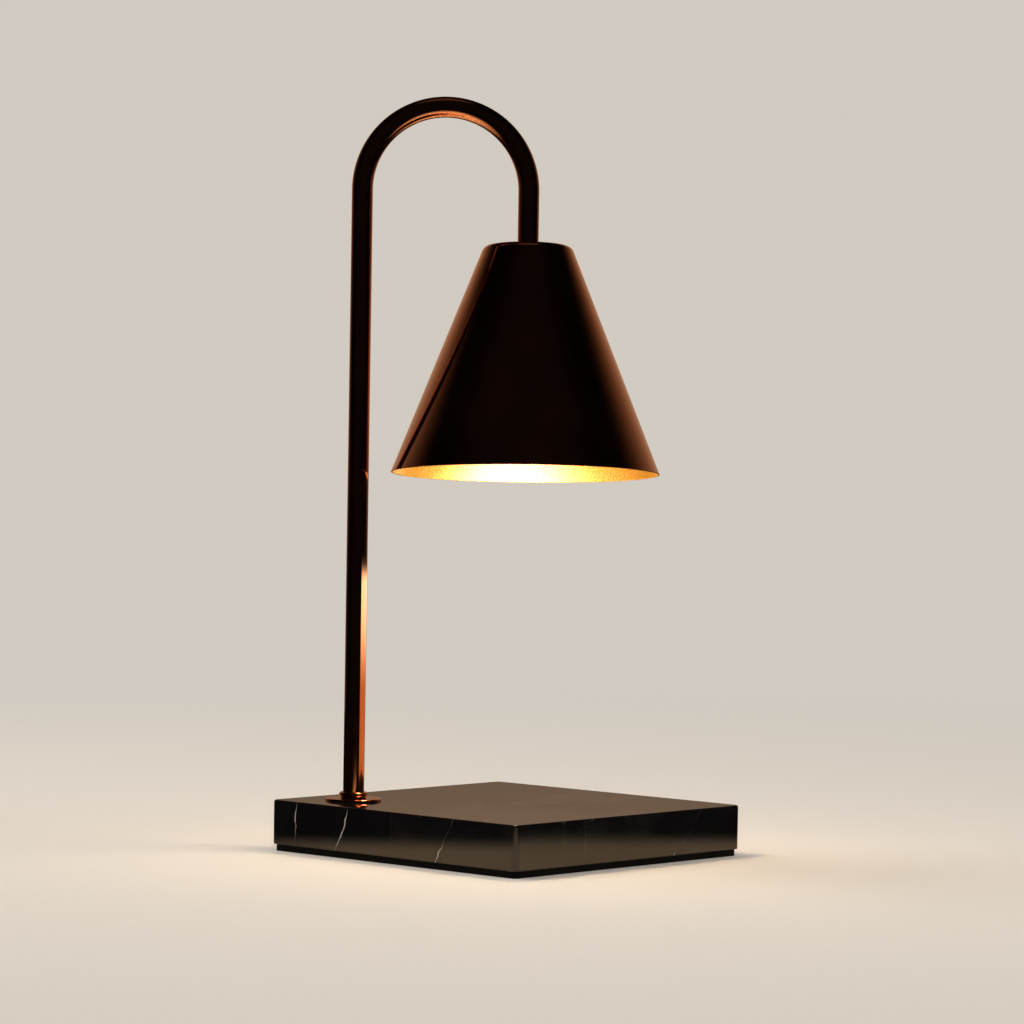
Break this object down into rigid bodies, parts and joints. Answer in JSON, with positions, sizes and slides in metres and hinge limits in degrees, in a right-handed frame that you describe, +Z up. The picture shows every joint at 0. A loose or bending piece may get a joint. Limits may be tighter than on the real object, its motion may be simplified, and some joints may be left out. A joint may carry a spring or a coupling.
{
  "type": "candle warmer lamp",
  "caption": "Candle warmer lamp: square marble base, arched tube arm and a conical shade on a friction swivel that holds a twist-lock reflector bulb over the candle.",
  "frame": {"origin": "centre of the underside of the base pad", "axes": "+Z up; the base's sides lie along X and Y; the arm rises at the (-X, -Y) corner and reaches along the diagonal towards (+X, +Y); the front, where the shade's opening leans, is towards (+X, -Y)"},
  "size_m": [0.15, 0.15, 0.3409],
  "materials": {
    "marble": "polished",
    "pad": "matte",
    "rose_gold": "polished",
    "steel": "satin",
    "brass": "satin",
    "porcelain": "satin",
    "glass": "gloss",
    "reflector": "polished",
    "filament": "satin",
    "black_plastic": "satin",
    "live_sleeve": "matte",
    "neutral_sleeve": "matte",
    "splice": "satin"
  },
  "bodies": {
    "base": {"marble_base": "marble", "base_pad": "pad", "cord_bush": "black_plastic", "foot_flange": "rose_gold", "foot_collar": "rose_gold", "stem_stud": "steel", "rubber_washer": "pad", "spread_washer": "steel", "toothed_washer": "steel", "retaining_nut": "steel", "arm_tube": "rose_gold", "swivel_stud": "rose_gold", "arm_lead_live": "live_sleeve", "arm_lead_neutral": "neutral_sleeve", "crimp_splices": "splice"},
    "shade_head": {"shade": "rose_gold", "socket_cap": "steel", "socket_ring": "steel", "socket_screws": "steel", "holder_bracket": "steel", "lampholder": "porcelain", "holder_cover": "porcelain", "holder_contacts": "brass", "holder_screws": "steel", "holder_lead_live": "live_sleeve", "holder_lead_neutral": "neutral_sleeve"},
    "bulb": {"bulb_base": "porcelain", "bulb_pins": "brass", "bulb_reflector": "reflector", "bulb_front_glass": "glass", "bulb_capsule": "glass", "bulb_filament": "filament"}
  },
  "joints": [
    {"name": "shade_tilt", "type": "hinge", "parent": "base", "child": "shade_head", "pos_m": [0.00403, 0.00403, 0.266], "axis": [-0.7071, -0.7071, 0], "range_deg": [-12.7, 3.3]},
    {"name": "bulb_twist", "type": "hinge", "parent": "shade_head", "child": "bulb", "pos_m": [0.00403, 0.00403, 0.266], "axis": [0.0579, -0.0579, -0.9966], "range_deg": [0, 35]}
  ]
}
